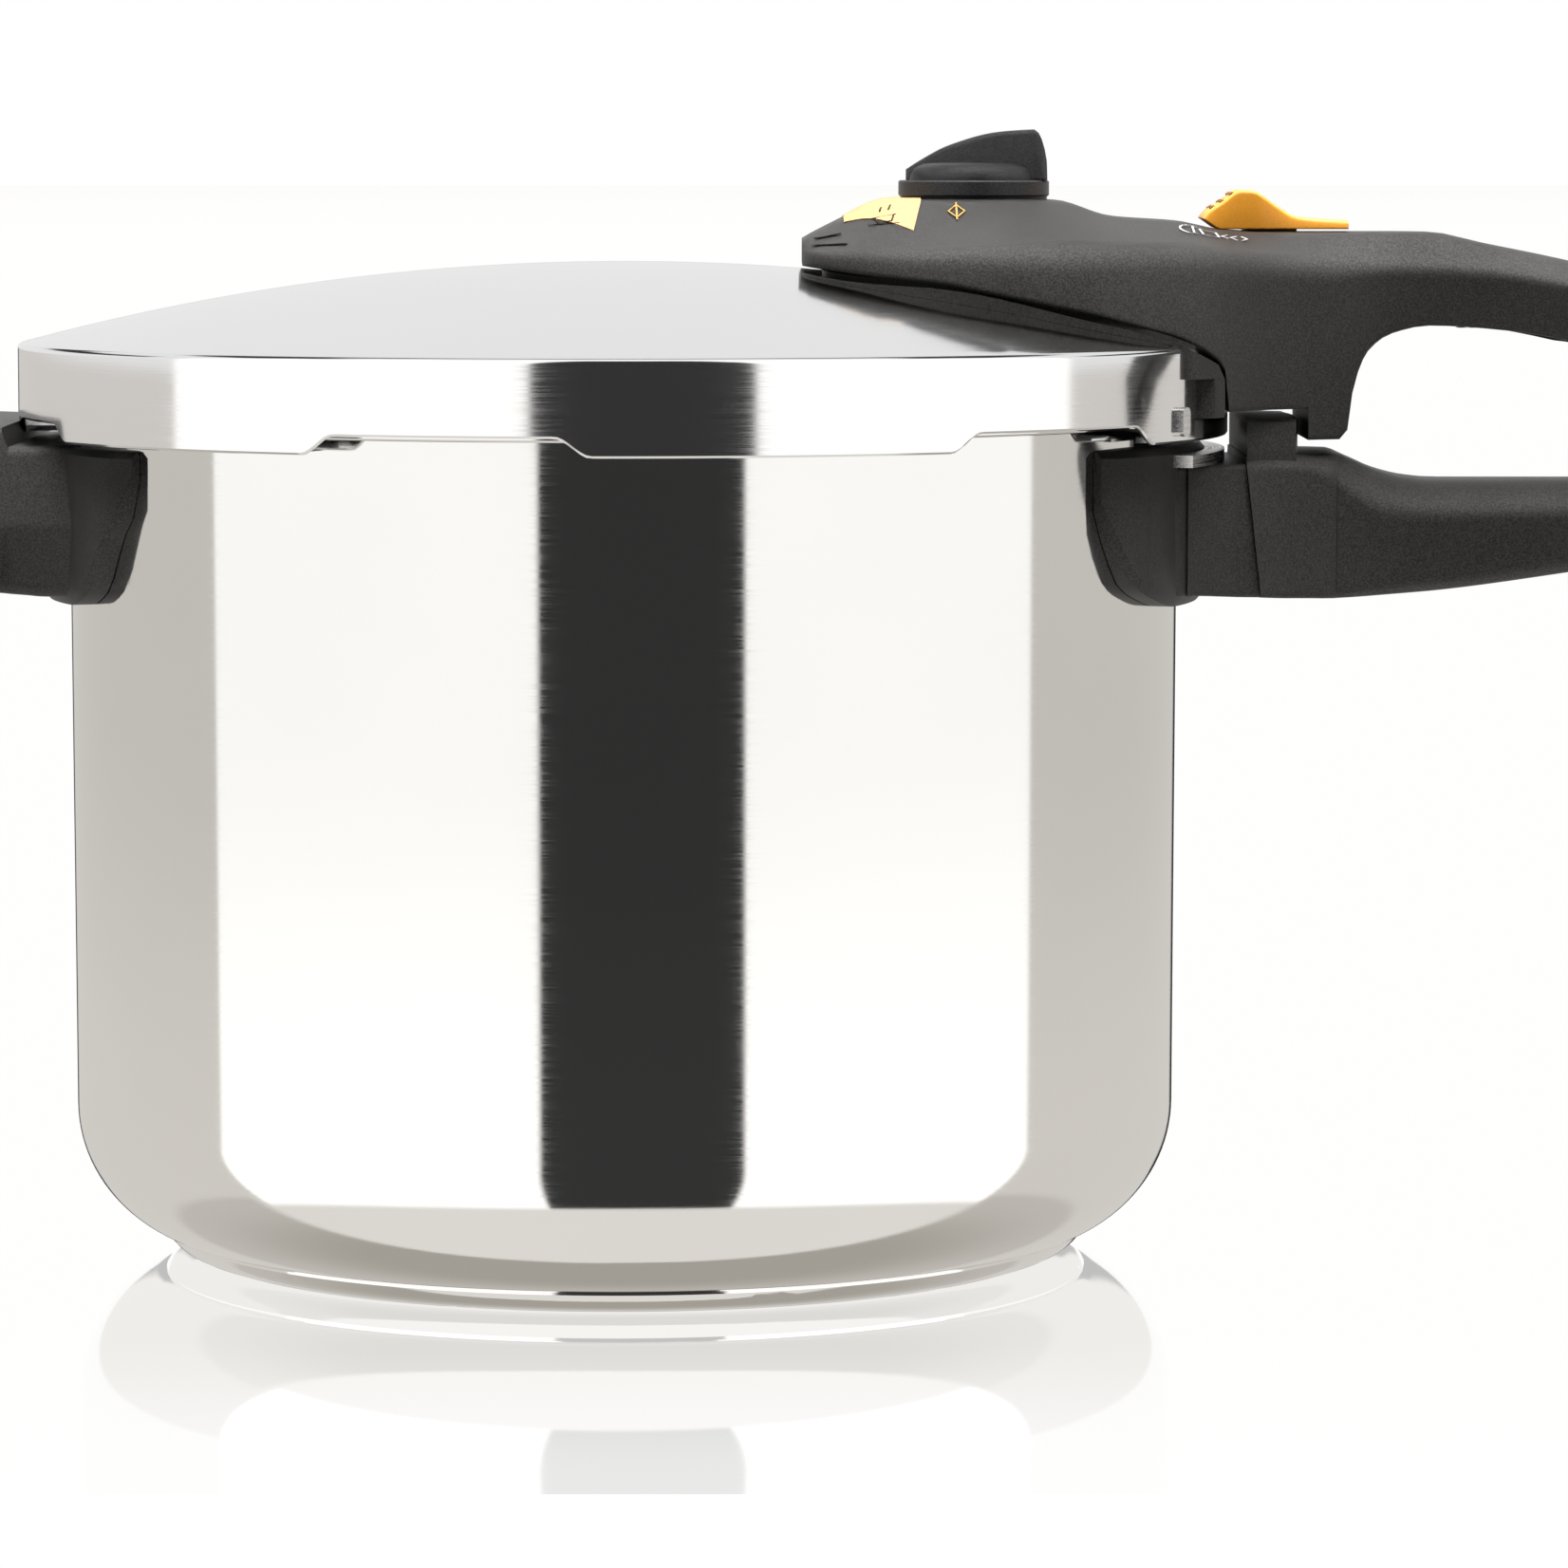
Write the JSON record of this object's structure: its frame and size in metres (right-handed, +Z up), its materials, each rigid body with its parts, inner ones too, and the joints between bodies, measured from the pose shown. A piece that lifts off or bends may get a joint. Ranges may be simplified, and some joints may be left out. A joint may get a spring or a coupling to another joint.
{
  "type": "stovetop pressure cooker",
  "caption": "Steel pressure cooker with bayonet lid, long twin handles, helper handle, pressure knob and sliding lid lock.",
  "frame": {"origin": "centre of the base's underside", "axes": "+Z up; +X along the long handles; the helper handle points to -X"},
  "size_m": [0.43, 0.242, 0.2243],
  "materials": {
    "polished_steel": "mirror polished stainless steel",
    "satin_steel": "finely brushed stainless steel",
    "core_aluminium": "plain",
    "bracket_steel": "pressed sheet",
    "screw_steel": "plain",
    "valve_metal": "turned",
    "black_moulding": "fine moulded grain",
    "dark_moulding": "smooth satin",
    "amber_moulding": "satin",
    "amber_panel": "printed panel",
    "silicone": "soft matte"
  },
  "bodies": {
    "pot": {"pot_shell": "polished_steel", "base_core": "core_aluminium", "base_cap": "polished_steel", "pot_handle_bracket": "bracket_steel", "pot_handle_yoke": "black_moulding", "pot_handle_grip": "black_moulding", "pot_handle_screw": "screw_steel", "helper_handle_bracket": "bracket_steel", "helper_handle_yoke": "black_moulding", "helper_handle_grip": "black_moulding", "helper_handle_screw": "screw_steel"},
    "gasket": {"lid_gasket": "silicone"},
    "lid": {"lid_shell": "satin_steel", "lid_rim_stud": "bracket_steel", "lid_handle_base": "black_moulding", "lid_handle_body": "black_moulding", "lid_grip_cover": "black_moulding", "lid_grip_screws": "screw_steel", "lid_handle_screws": "screw_steel", "label_panel": "amber_panel", "valve_body": "valve_metal", "valve_nut": "valve_metal", "valve_seal": "silicone", "valve_spring": "screw_steel", "safety_valve_body": "valve_metal", "safety_valve_nut": "valve_metal", "safety_valve_seal": "silicone", "safety_valve_spring": "screw_steel", "lock_pin_bush": "valve_metal", "lock_pin_seal": "silicone", "lock_spring": "screw_steel"},
    "knob": {"knob_ring": "dark_moulding", "knob_body": "dark_moulding", "knob_wing": "dark_moulding", "knob_spindle": "valve_metal"},
    "lock": {"lock_button": "amber_moulding", "lock_bar": "bracket_steel"},
    "plunger": {"valve_plunger": "valve_metal"},
    "poppet": {"safety_valve_poppet": "valve_metal"},
    "pin": {"pressure_lock_pin": "valve_metal"}
  },
  "joints": [
    {"name": "lid_lift", "type": "slide", "parent": "pot", "child": "gasket", "axis": [0, 0, 1], "range_m": [0, 0.24]},
    {"name": "lid_turn", "type": "hinge", "parent": "gasket", "child": "lid", "pos_m": [0, 0, 0.17], "axis": [0, 0, 1], "range_deg": [0, 30]},
    {"name": "knob_turn", "type": "hinge", "parent": "lid", "child": "knob", "pos_m": [0.0701, 0, 0.211], "axis": [0, 0, 1], "range_deg": [-60, 90]},
    {"name": "lock_slide", "type": "slide", "parent": "lid", "child": "lock", "axis": [1, 0, 0], "range_m": [0, 0.008], "stiffness_N_per_m": 250, "springref_m": -0.004, "deforming": ["lock_spring"]},
    {"name": "valve_lift", "type": "slide", "parent": "lid", "child": "plunger", "axis": [0, 0, 1], "range_m": [0, 0.0015], "stiffness_N_per_m": 400, "springref_m": -0.002, "deforming": ["valve_spring"]},
    {"name": "safety_lift", "type": "slide", "parent": "lid", "child": "poppet", "axis": [0, 0, 1], "range_m": [0, 0.0015], "stiffness_N_per_m": 400, "springref_m": -0.002, "deforming": ["safety_valve_spring"]},
    {"name": "lock_pin_drop", "type": "slide", "parent": "lid", "child": "pin", "axis": [0, 0, -1], "range_m": [-0.004, 0]}
  ]
}
